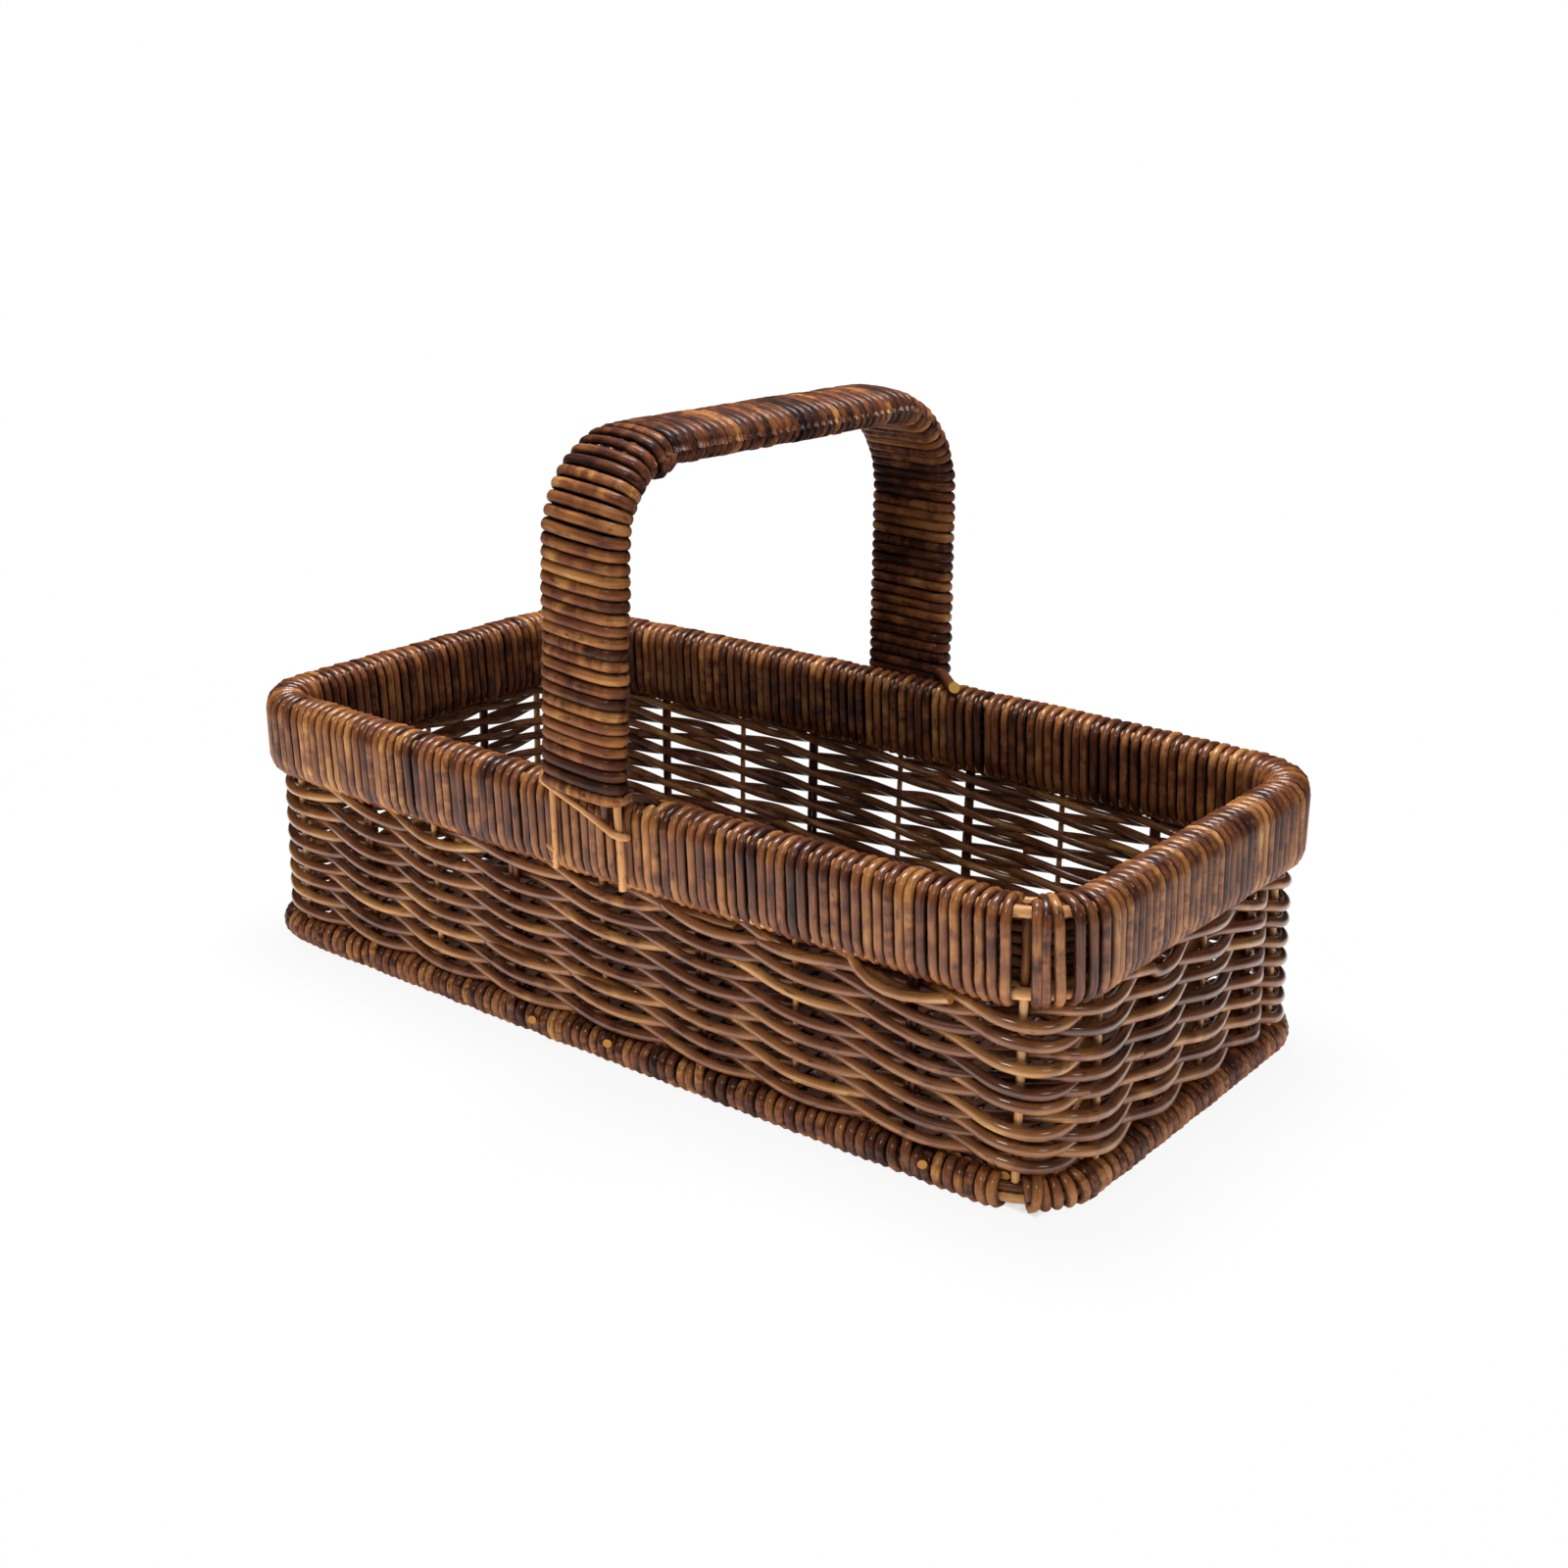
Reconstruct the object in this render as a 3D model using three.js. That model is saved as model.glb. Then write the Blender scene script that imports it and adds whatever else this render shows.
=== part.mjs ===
// An ingredient basket of dark stained cane: an oblong with round corners and long sides that bow out,
// a wound rim band, an open wall of paired weavers on thin stakes, a wound foot and a fixed arch handle.
// Millimetres, +Z up. The origin is on the ground under the middle of the basket, with X along its length.
import * as THREE from 'three';

// The basket over all
const basketLength = 400; // over the rim band, end to end
const basketWidth = 193; // over the rim band at its corners
const rimHeight = 109.5; // ground to the top of the rim band
const handleHeight = 234.5; // ground to the top of the handle
const cornerRadius = 22; // of the line that the stakes stand on
const rimBow = 4.8; // how far each long side bows out at the rim
const footBow = 1.2; // and at the foot
const wallLean = 2; // how far the wall leans out between the rim and the foot

// Room between pieces
const clearance = 0.3; // between pieces that touch on the real basket
const buttGap = 0.5; // between the two ends of a hoop or of a binding

// Wall
const stakeDiameter = 2.2;
const weaverDiameter = 3.2;
const crossingGap = 0.6; // between the two weavers of a row where they cross
const longSideBays = 8; // spaces between the stakes of a side; each corner adds one
const shortSideBays = 4;
const cornerStakeInset = 3; // how far into the corner's bend the end stakes of a side stand

// Rim band
const rimBandHeight = 36;
const rimHoopDiameter = 4.4;
const rimBindingThickness = 2.8;
const rimRounding = 7;

// Foot
const footHoopDiameter = 7;
const footBindingThickness = 2.8;
const floorRodDiameter = 3.4;
const floorRodCount = 4;
const floorThickness = 4.5;
const floorRise = 2.5; // ground to the lowest side of the floor rods

// Handle
const handleCaneDiameter = 6.3;
const handleCaneCount = 4;
const handleStickDiameter = 3; // of the thin cane at each edge, which goes on down over the rim band
const handleBendRadius = 34; // of the middle line of the canes
const handleStickEnd = 77; // ground to the lower ends of the sticks
const handleStrandWidth = 4;
const handleStrandThickness = 2.4;
const handleLoops = 24; // turns in each of the three windings
const tieDiameter = 3;
const tieDrop = 17; // how far the tie falls from one stick to the other

const rimThickness = stakeDiameter + 2 * (rimHoopDiameter + 2 * clearance) + 2 * rimBindingThickness;
const planLength = basketLength - rimThickness;
const planWidth = basketWidth - rimThickness;
const rimBottom = rimHeight - rimBandHeight;
const footDiameter = footHoopDiameter + 2 * clearance + 2 * footBindingThickness;
const footMiddle = footDiameter / 2;
const slotWidth = stakeDiameter + 2 * clearance;
const stakeCount = 2 * (longSideBays + 1 + shortSideBays + 1);

const darkCane = new THREE.MeshStandardMaterial({ color: 0x5a3620, roughness: 0.4, metalness: 0 });
const boundCane = new THREE.MeshStandardMaterial({ color: 0x6b4428, roughness: 0.38, metalness: 0 });
const paleCane = new THREE.MeshStandardMaterial({ color: 0xc08a52, roughness: 0.5, metalness: 0 });
const basket = new THREE.Group();

function addPiece(name, geometry, material) {
  const piece = new THREE.Mesh(geometry, material);
  piece.name = name;
  basket.add(piece);
}

// The line of the stakes seen from above, from the far right corner round by the far side to its start
function makePlan() {
  const x = planLength / 2 - cornerRadius;
  const y = planWidth / 2 - cornerRadius;
  const path = new THREE.Path();
  path.moveTo(x, planWidth / 2);
  path.lineTo(-x, planWidth / 2);
  path.absarc(-x, y, cornerRadius, Math.PI / 2, Math.PI);
  path.lineTo(-planLength / 2, -y);
  path.absarc(-x, -y, cornerRadius, Math.PI, 1.5 * Math.PI);
  path.lineTo(x, -planWidth / 2);
  path.absarc(x, -y, cornerRadius, -0.5 * Math.PI, 0);
  path.lineTo(planLength / 2, y);
  path.absarc(x, y, cornerRadius, 0, Math.PI / 2);
  return path;
}

const plan = makePlan();
const planLap = plan.getLength();

function riseShare(z) {
  return THREE.MathUtils.clamp((z - footMiddle) / (rimBottom - footMiddle), 0, 1);
}

function bowedPoint(length, bow) {
  const share = ((length / planLap) % 1 + 1) % 1;
  const point = plan.getPoint(share);
  point.y *= 1 + (2 * bow / planWidth) * (1 - (2 * point.x / planLength) ** 2);
  return point;
}

// A place on the wall: its point, the way along the wall and the way out of the basket
function wallPlace(length, out, z, side = 0) {
  const bow = footBow + (rimBow - footBow) * riseShare(z);
  const here = bowedPoint(length, bow);
  const along = bowedPoint(length + 0.5, bow).sub(bowedPoint(length - 0.5, bow)).normalize();
  const reach = out + wallLean * (1 - riseShare(z));
  return new THREE.Vector3(
    here.x + along.y * reach + along.x * side,
    here.y - along.x * reach + along.y * side,
    z,
  );
}

// A line of straight runs through given points, which keeps exactly those points as its steps
class RodLine extends THREE.Curve {
  constructor(points) {
    super();
    this.points = points;
    this.steps = points.length - 1;
  }

  getPoint(share) {
    const place = share * this.steps;
    const index = Math.min(Math.floor(place + 1e-6), this.steps - 1);
    return this.points[index].clone().lerp(this.points[index + 1], place - index);
  }

  getPointAt(share) {
    return this.getPoint(share);
  }

  getTangentAt(share) {
    const index = Math.round(share * this.steps);
    const here = this.points[index];
    const tangent = new THREE.Vector3();
    if (index > 0) tangent.add(here.clone().sub(this.points[index - 1]).normalize());
    if (index < this.steps) tangent.add(this.points[index + 1].clone().sub(here).normalize());
    return tangent.normalize();
  }
}

function extrudeAlong(shape, points) {
  const line = new RodLine(points);
  return new THREE.ExtrudeGeometry(shape, { steps: line.steps, extrudePath: line, bevelEnabled: false });
}

function roundSection(diameter, sides) {
  const points = [];
  for (let i = 0; i < sides; i += 1) {
    const angle = (2 * Math.PI * i) / sides;
    points.push(new THREE.Vector2(Math.cos(angle), Math.sin(angle)).multiplyScalar(diameter / 2));
  }
  return new THREE.Shape(points);
}

// A section given as points out of the wall and up, turned the way that a level ring lays it
function ringSection(points) {
  return new THREE.Shape(points.map(([out, up]) => new THREE.Vector2(-up, -out)));
}

// Steps round the basket, close in the corners, from one length along the plan to another
function stretchLengths(from, to) {
  const lengths = [from];
  let start = 0;
  while (start < to) {
    for (const curve of plan.curves) {
      const length = curve.getLength();
      const steps = curve.isLineCurve ? Math.max(1, Math.round((length - planWidth / 2) / 36)) : 6;
      for (let i = 0; i < steps; i += 1) {
        const step = start + (length * i) / steps;
        if (step > from + 1 && step < to - 1) lengths.push(step);
      }
      start += length;
    }
  }
  lengths.push(to);
  return lengths;
}

function ringPiece(name, section, out, z, material, from = 0, to = planLap - buttGap) {
  const points = stretchLengths(from, to).map((length) => wallPlace(length, out, z));
  addPiece(name, extrudeAlong(section, points), material);
}

// Stakes are counted from the far right corner, the way the plan runs, and halves fall between them
function stakeLength(count) {
  const corner = (Math.PI * cornerRadius) / 2;
  let rest = ((count % stakeCount) + stakeCount) % stakeCount;
  let start = 0;
  for (let side = 0; side < 4; side += 1) {
    const [over, bays] = side % 2 === 0 ? [planLength, longSideBays] : [planWidth, shortSideBays];
    const run = over - 2 * cornerRadius;
    if (rest <= bays) return start - cornerStakeInset + ((run + 2 * cornerStakeInset) * rest) / bays;
    rest -= bays;
    if (rest < 1) return start + run + cornerStakeInset + (corner - 2 * cornerStakeInset) * rest;
    rest -= 1;
    start += run + corner;
  }
  return -cornerStakeInset;
}

// Every second stake of a side is a pair, and the stakes at its ends are single
function isPaired(count) {
  const half = count % (stakeCount / 2);
  const place = half > longSideBays ? half - longSideBays - 1 : half;
  return place % 2 === 1;
}

function pairSection(diameter) {
  const points = [];
  for (const lobe of [1, -1]) {
    for (let i = -2; i <= 2; i += 1) {
      const angle = (Math.PI * i) / 4 + (lobe > 0 ? 0 : Math.PI);
      const x = lobe * 0.46 * diameter + (Math.cos(angle) * diameter) / 2;
      points.push(new THREE.Vector2(x, (Math.sin(angle) * diameter) / 2));
    }
    points.push(new THREE.Vector2(0, lobe * 0.3 * diameter));
  }
  return points;
}

// Stakes: thin rods from the foot hoop up between the rim hoops, turned so that a pair lies along the wall
function addStakes() {
  const low = footMiddle + footHoopDiameter / 2 + clearance;
  const high = rimHeight - rimBindingThickness - clearance;
  for (let i = 0; i < stakeCount; i += 1) {
    const length = stakeLength(i);
    const section = isPaired(i) ? pairSection(stakeDiameter) : roundSection(stakeDiameter, 6).getPoints();
    const feet = [low, rimBottom, high].map((z) => section.map(
      (spot) => wallPlace(length, spot.y, z, spot.x),
    ));
    addPiece(`stake_${String(i + 1).padStart(2, '0')}`, loftBody(feet), isPaired(i) ? darkCane : paleCane);
  }
}

// One closed body through rings of points that all have the same count
function loftBody(rings) {
  const count = rings[0].length;
  const vertices = rings.flat();
  const faces = [];
  for (let ring = 0; ring < rings.length - 1; ring += 1) {
    for (let i = 0; i < count; i += 1) {
      const a = ring * count + i;
      const b = ring * count + ((i + 1) % count);
      faces.push([a, b, b + count], [a, b + count, a + count]);
    }
  }
  const flat = rings[0].map((point) => planeSpot(point, rings[0]));
  const caps = THREE.ShapeUtils.triangulateShape(flat, []);
  const last = (rings.length - 1) * count;
  for (const [a, b, c] of caps) faces.push([a, c, b], [last + a, last + b, last + c]);
  const geometry = new THREE.BufferGeometry();
  geometry.setAttribute('position', new THREE.Float32BufferAttribute(vertices.flatMap((v) => v.toArray()), 3));
  geometry.setIndex(faces.flat());
  if (signedVolume(vertices, faces) < 0) geometry.setIndex(faces.map(([a, b, c]) => [a, c, b]).flat());
  return geometry;
}

// A ring's point in the ring's own plane, so that its cap can be cut into triangles
function planeSpot(point, ring) {
  const middle = ring.reduce((sum, v) => sum.add(v), new THREE.Vector3()).divideScalar(ring.length);
  const first = ring[0].clone().sub(middle).normalize();
  const normal = new THREE.Vector3();
  ring.forEach((v, i) => {
    const next = ring[(i + 1) % ring.length].clone().sub(middle);
    normal.add(v.clone().sub(middle).cross(next));
  });
  normal.normalize();
  const second = normal.clone().cross(first);
  const arm = point.clone().sub(middle);
  return new THREE.Vector2(arm.dot(first), arm.dot(second));
}

function signedVolume(vertices, faces) {
  let sum = 0;
  for (const [a, b, c] of faces) sum += vertices[a].dot(vertices[b].clone().cross(vertices[c]));
  return sum / 6;
}

// Rim: four hoops hold the stake tops, two inside and two outside, under a close binding open below.
// The binding is in two lengths, one round each end of the basket, that meet under the handle.
function addRim() {
  const out = stakeDiameter / 2 + clearance + rimHoopDiameter / 2;
  const inset = rimBindingThickness + clearance + rimHoopDiameter / 2;
  const section = roundSection(rimHoopDiameter, 4);
  ringPiece('rim_top_outer_hoop', section, out, rimHeight - inset, paleCane);
  ringPiece('rim_top_inner_hoop', section, -out, rimHeight - inset, paleCane);
  ringPiece('rim_lower_outer_hoop', section, out, rimBottom + inset, paleCane);
  ringPiece('rim_lower_inner_hoop', section, -out, rimBottom + inset, paleCane);
  const middle = planLength / 2 - cornerRadius;
  const outline = ringSection(rimBindingOutline());
  for (const [name, from] of [['rim_binding_left', middle], ['rim_binding_right', middle + planLap / 2]]) {
    const to = from + planLap / 2 - buttGap;
    ringPiece(name, outline, 0, rimBottom + rimBandHeight / 2, boundCane, from, to);
  }
}

function rimBindingOutline() {
  const wide = rimThickness / 2;
  const tall = rimBandHeight / 2;
  const slot = slotWidth / 2;
  const insideWide = wide - rimBindingThickness;
  const insideTall = tall - rimBindingThickness;
  const outline = [[slot, -tall]];
  for (const [turn, signOut, signUp] of [[-90, 1, -1], [0, 1, 1], [90, -1, 1], [180, -1, -1]]) {
    for (const share of [0, 0.5, 1]) {
      const angle = THREE.MathUtils.degToRad(turn + 90 * share);
      outline.push([
        signOut * (wide - rimRounding) + rimRounding * Math.cos(angle),
        signUp * (tall - rimRounding) + rimRounding * Math.sin(angle),
      ]);
    }
  }
  outline.push([-slot, -tall], [-slot, -insideTall], [-insideWide, -insideTall]);
  outline.push([-insideWide, insideTall], [insideWide, insideTall], [insideWide, -insideTall]);
  outline.push([slot, -insideTall]);
  return outline;
}

// Wall weave: each row is one rod folded round a stake, whose halves twist about each other between stakes
function addWeavers() {
  const passOut = stakeDiameter / 2 + clearance + weaverDiameter / 2;
  const crossRise = (weaverDiameter + crossingGap) / 2;
  const low = footDiameter + clearance;
  const room = rimBottom - clearance - low;
  const rows = Math.floor(room / (2 * weaverDiameter + crossingGap + clearance));
  const section = roundSection(weaverDiameter, 4);
  for (let row = 0; row < rows; row += 1) {
    const z = low + (room * (row + 0.5)) / rows;
    const fold = 2 + 2 * (row % 3);
    const half = (way) => {
      const points = [];
      for (let step = 0; step < 2 * stakeCount; step += 1) {
        const turn = (Math.PI * step) / 2;
        const out = way * passOut * Math.cos(turn);
        const rise = -way * crossRise * Math.sin(turn);
        const spot = wallPlace(stakeLength(fold + step / 2), out, z);
        points.push(spot.setZ(z + rise));
      }
      return points;
    };
    const bend = [-135, -180, -225].map((degrees) => {
      const angle = THREE.MathUtils.degToRad(degrees);
      return wallPlace(stakeLength(fold), passOut * Math.sin(angle), z, passOut * Math.cos(angle));
    });
    const points = [...half(-1).reverse(), ...bend, ...half(1)];
    addPiece(`weaver_row_${row + 1}`, extrudeAlong(section, points), darkCane);
  }
}

// Foot: a thick hoop under the stakes in a close binding, slotted above for them and flat below
function addFoot() {
  ringPiece('foot_hoop', roundSection(footHoopDiameter, 6), 0, footMiddle, paleCane);
  const outside = footDiameter / 2;
  const inside = outside - footBindingThickness;
  const slot = slotWidth / 2;
  const eighth = Math.tan(Math.PI / 8);
  const lip = Math.max(inside * eighth, slot + 0.1);
  const ring = (r, top) => [
    [-top, r], [-r, r * eighth], [-r, -r * eighth], [-r * eighth, -r],
    [r * eighth, -r], [r, -r * eighth], [r, r * eighth], [top, r],
  ];
  const outline = [[-slot, outside], ...ring(outside, outside * eighth), [slot, outside],
    [slot, inside], ...ring(inside, lip).reverse(), [-slot, inside]];
  ringPiece('foot_binding', ringSection(outline), 0, footMiddle, boundCane);
}

// Floor: rods along the basket under a woven mat, all inside the foot
function addFloor() {
  const edge = -(footDiameter / 2 + clearance);
  const matLow = floorRise + floorRodDiameter + clearance;
  const outline = stretchLengths(0, planLap).slice(0, -1).map((length) => wallPlace(length, edge, footMiddle));
  const rings = [matLow, matLow + floorThickness].map((z) => outline.map((v) => v.clone().setZ(z)));
  addPiece('floor_mat', loftBody(rings), darkCane);
  const spread = planWidth + 2 * (footBow + wallLean + edge);
  for (let i = 0; i < floorRodCount; i += 1) {
    const y = spread * ((i + 0.5) / floorRodCount - 0.5);
    const straight = planWidth / 2 - cornerRadius;
    const tuck = Math.max(0, Math.abs(y) - straight) * 0.8;
    const reach = planLength / 2 + wallLean + edge - tuck;
    const z = floorRise + floorRodDiameter / 2;
    const ends = [new THREE.Vector3(-reach, y, z), new THREE.Vector3(reach, y, z)];
    addPiece(`floor_rod_${i + 1}`, extrudeAlong(roundSection(floorRodDiameter, 6), ends), darkCane);
  }
}

// Handle: an arch of thick canes side by side, with a thin one at each edge that lies against the rim band
const caneMiddle = planWidth / 2 + rimBow + rimThickness / 2 + clearance + handleStickDiameter / 2;
const canePitch = handleCaneDiameter + clearance;
const stickMiddle = (handleCaneCount * canePitch) / 2 + clearance / 2 + handleStickDiameter / 2;
const archTop = handleHeight - handleStrandThickness - clearance - handleCaneDiameter / 2;
const bendStart = archTop - handleBendRadius;
const bendSteps = 6;

// Where the middle line of the handle is, and which way it runs, some way along it from the rim
function archPlace(length) {
  const leg = bendStart - rimHeight;
  const quarter = (Math.PI * handleBendRadius) / 2;
  const top = 2 * (caneMiddle - handleBendRadius);
  const whole = 2 * (leg + quarter) + top;
  if (length > whole / 2) {
    const mirrored = archPlace(whole - length);
    mirrored.point.y *= -1;
    mirrored.along.z *= -1;
    return mirrored;
  }
  if (length < leg) {
    return { point: new THREE.Vector3(0, -caneMiddle, rimHeight + length), along: new THREE.Vector3(0, 0, 1) };
  }
  const angle = Math.min((length - leg) / handleBendRadius, Math.PI / 2);
  const past = Math.max(0, length - leg - quarter);
  const point = new THREE.Vector3(
    0,
    -caneMiddle + handleBendRadius * (1 - Math.cos(angle)) + past,
    bendStart + handleBendRadius * Math.sin(angle),
  );
  return { point, along: new THREE.Vector3(0, Math.sin(angle), Math.cos(angle)) };
}

const legLength = bendStart - rimHeight;
const bendLength = (Math.PI * handleBendRadius) / 2;
const archLength = 2 * (legLength + bendLength + caneMiddle - handleBendRadius);

function addHandleCanes() {
  const middles = [-stickMiddle];
  for (let i = 0; i < handleCaneCount; i += 1) middles.push((i - (handleCaneCount - 1) / 2) * canePitch);
  middles.push(stickMiddle);
  middles.forEach((x, i) => {
    const outer = Math.abs(x) === stickMiddle;
    const diameter = outer ? handleStickDiameter : handleCaneDiameter;
    const points = [];
    for (let step = 0; step <= bendSteps; step += 1) {
      points.push(archPlace(legLength + (bendLength * step) / bendSteps).point.setX(x));
    }
    const foot = points[0].clone().setZ(outer ? handleStickEnd : rimHeight + clearance);
    const near = [foot, ...points];
    const far = near.map((point) => point.clone().setY(-point.y)).reverse();
    const line = extrudeAlong(roundSection(diameter, 6), [...near, ...far]);
    addPiece(`handle_cane_${i + 1}`, line, outer ? paleCane : boundCane);
  });
}

// A winding: one flat strand round the canes, eight steps to a turn, its ends laid straight along them
function addWinding(name, start, end) {
  const halfWide = stickMiddle + handleStickDiameter / 2 + clearance + handleStrandThickness / 2;
  const halfDeep = handleCaneDiameter / 2 + clearance + handleStrandThickness / 2;
  const corner = handleStrandThickness;
  const lap = [[-1, -1], [1, -1], [1, -1], [1, 1], [1, 1], [-1, 1], [-1, 1], [-1, -1]];
  const spots = [];
  const from = start + handleStrandWidth;
  const to = end - handleStrandWidth;
  for (let loop = 0; loop <= handleLoops; loop += 1) {
    lap.forEach(([signX, signDeep], step) => {
      if (loop === handleLoops && step > 0) return;
      const onFace = step % 4 < 2;
      const x = signX * (halfWide - (onFace ? corner : 0));
      const deep = signDeep * (halfDeep - (onFace ? 0 : corner / 2));
      spots.push({ x, deep, share: (loop + step / lap.length) / handleLoops });
    });
  }
  const rings = [];
  const middles = [];
  const place = (x, deep, length) => {
    const { point, along } = archPlace(length);
    const outward = new THREE.Vector3(1, 0, 0).cross(along);
    return { point: point.clone().setX(x).addScaledVector(outward, deep), along };
  };
  const { x: endX, deep: endDeep } = spots[0];
  const turns = spots.map((spot) => place(spot.x, spot.deep, from + (to - from) * spot.share));
  const points = [place(endX, endDeep, start), ...turns, place(endX, endDeep, end)];
  points.forEach(({ point, along }, i) => {
    const before = points[Math.max(i - 1, 0)].point;
    const after = points[Math.min(i + 1, points.length - 1)].point;
    const tangent = after.clone().sub(before).normalize();
    const straight = i === 0 || i === points.length - 1;
    const wide = straight ? new THREE.Vector3(1, 0, 0) : along.clone().addScaledVector(tangent, -along.dot(tangent));
    wide.normalize();
    const thick = tangent.clone().cross(wide).normalize();
    const ring = [[1, 1], [-1, 1], [-1, -1], [1, -1]].map(([w, t]) => point.clone()
      .addScaledVector(wide, (w * handleStrandWidth) / 2)
      .addScaledVector(thick, (t * handleStrandThickness) / 2));
    rings.push(ring);
    middles.push(point);
  });
  printLeastGap(name, middles, lap.length);
  addPiece(name, loftBody(rings), boundCane);
}

// The least room between one turn and the next, from middle line to middle line less the strand's width
function printLeastGap(name, middles, stepsToATurn) {
  let least = Infinity;
  middles.forEach((point, i) => {
    for (let j = i + stepsToATurn - 2; j < middles.length; j += 1) {
      least = Math.min(least, point.distanceTo(middles[j]));
    }
  });
  console.log(`${name}: least gap to itself ${(least - handleStrandWidth).toFixed(2)} mm`);
}

function addWindings() {
  const low = clearance;
  const turnEnd = legLength + bendLength;
  const half = clearance / 2;
  addWinding('handle_winding_near_leg', low, turnEnd - half);
  addWinding('handle_winding_top', turnEnd + half, archLength - turnEnd - half);
  addWinding('handle_winding_far_leg', archLength - turnEnd + half, archLength - low);
}

// Ties: on each side a strand slants across the two sticks and turns back beside them to the band
function addTies() {
  const over = handleStickDiameter / 2 + clearance + tieDiameter / 2;
  const back = (tieDiameter - handleStickDiameter) / 2;
  const beside = stickMiddle + over + 2 * clearance + tieDiameter / 2;
  const bendAt = stickMiddle + handleStickDiameter / 2;
  const high = rimHeight - tieDiameter;
  for (const [name, side] of [['near', -1], ['far', 1]]) {
    const stops = [
      [-beside, back, high], [-bendAt, over, high - 1], [bendAt, over, high - 1 - tieDrop],
      [beside, back, high - 2 - tieDrop],
    ];
    const points = stops.map(([x, out, z]) => new THREE.Vector3(-side * x, side * (caneMiddle + out), z));
    addPiece(`handle_tie_${name}`, extrudeAlong(roundSection(tieDiameter, 6), points), paleCane);
  }
}

addStakes();
addRim();
addWeavers();
addFoot();
addFloor();
addHandleCanes();
addWindings();
addTies();

export default basket;
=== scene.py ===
import bisect
import math
import random

import bpy
from mathutils import Matrix, Vector, noise


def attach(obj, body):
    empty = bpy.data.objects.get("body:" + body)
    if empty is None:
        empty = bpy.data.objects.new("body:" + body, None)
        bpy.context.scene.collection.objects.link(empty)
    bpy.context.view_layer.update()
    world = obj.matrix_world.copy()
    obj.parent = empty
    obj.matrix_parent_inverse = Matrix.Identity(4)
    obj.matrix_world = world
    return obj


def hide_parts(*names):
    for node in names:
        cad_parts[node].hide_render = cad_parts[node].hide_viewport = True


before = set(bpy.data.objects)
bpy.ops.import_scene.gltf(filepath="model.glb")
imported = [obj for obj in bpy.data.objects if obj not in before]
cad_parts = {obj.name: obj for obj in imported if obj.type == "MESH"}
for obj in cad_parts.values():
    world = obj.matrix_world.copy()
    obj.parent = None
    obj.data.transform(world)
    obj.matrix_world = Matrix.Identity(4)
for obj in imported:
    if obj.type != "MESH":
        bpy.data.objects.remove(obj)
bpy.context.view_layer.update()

# Studio: a plain pale floor that runs out to white and throws soft light up at the basket, a broad lamp
# overhead, two weaker ones to the right and in front, and the camera where the photograph was taken.
FLOOR_SIZE, FLOOR_LEVEL = 6, -0.0004
FOOT_HALF_LONG, FOOT_HALF_WIDE, FOOT_BLUR = 0.184, 0.084, 0.004
LIT_MIDDLE, LIT_START, LIT_FULL, LIT_END = (-0.05, -0.08, 0), 0.04, 0.32, 0.64
LIT_STRENGTH, GLINT_SHARE, SHADE_SHARE = 2.5, 0.15, 0.08
ROOM_LIGHT = 0.015
LAMPS = (
    ("overhead_lamp", (-0.15, 0.14, 1.35), 0.6, 24),
    ("right_lamp", (1.1, -0.15, 0.7), 0.25, 0.9),
    ("front_lamp", (0.2, -0.85, 1.1), 0.3, 3.6),
)
CAMERA_PLACE, CAMERA_LENS = (0.4808, -0.5918, 0.3477), 46.83
CAMERA_TURN, CAMERA_DOWN, CAMERA_ROLL = 38.27, 19.08, 0.2


class Wire:
    """A socket of a material. Sums on it add Math nodes, and node() adds any other kind."""

    def __init__(self, tree, socket=None):
        self.tree = tree
        self.socket = socket

    def node(self, kind, settings=None, inputs=None, output=0):
        made = self.tree.nodes.new(kind)
        for name, value in (settings or {}).items():
            if name == "stops":
                ramp = made.color_ramp
                ramp.elements.remove(ramp.elements[0])
                ramp.elements[0].position, ramp.elements[0].color = value[0]
                for place, colour in value[1:]:
                    ramp.elements.new(place).color = colour
            else:
                setattr(made, name, value)
        for name, value in (inputs or {}).items():
            if isinstance(value, Wire):
                self.tree.links.new(value.socket, made.inputs[name])
            else:
                made.inputs[name].default_value = value
        return Wire(self.tree, made.outputs[output])

    def other(self, output):
        return Wire(self.tree, self.socket.node.outputs[output])

    def math(self, operation, *values):
        return self.node("ShaderNodeMath", {"operation": operation}, dict(enumerate(values)))

    def change(self, low, high, start=0.0, end=1.0, kind="SMOOTHSTEP"):
        """A value that changes from start to end while this one goes from low to high."""
        limits = {"Value": self, "From Min": low, "From Max": high, "To Min": start, "To Max": end}
        return self.node("ShaderNodeMapRange", {"interpolation_type": kind}, limits)

    def __add__(self, value):
        return self.math("ADD", self, value)

    def __sub__(self, value):
        return self.math("SUBTRACT", self, value)

    def __rsub__(self, value):
        return self.math("SUBTRACT", value, self)

    def __mul__(self, value):
        return self.math("MULTIPLY", self, value)

    __radd__ = __add__
    __rmul__ = __mul__


def paint(code):
    """A screen colour such as 6b4327 as the linear colour that nodes take."""
    parts = [int(code[i : i + 2], 16) / 255 for i in (0, 2, 4)]
    return [p / 12.92 if p < 0.04045 else ((p + 0.055) / 1.055) ** 2.4 for p in parts] + [1]


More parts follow.
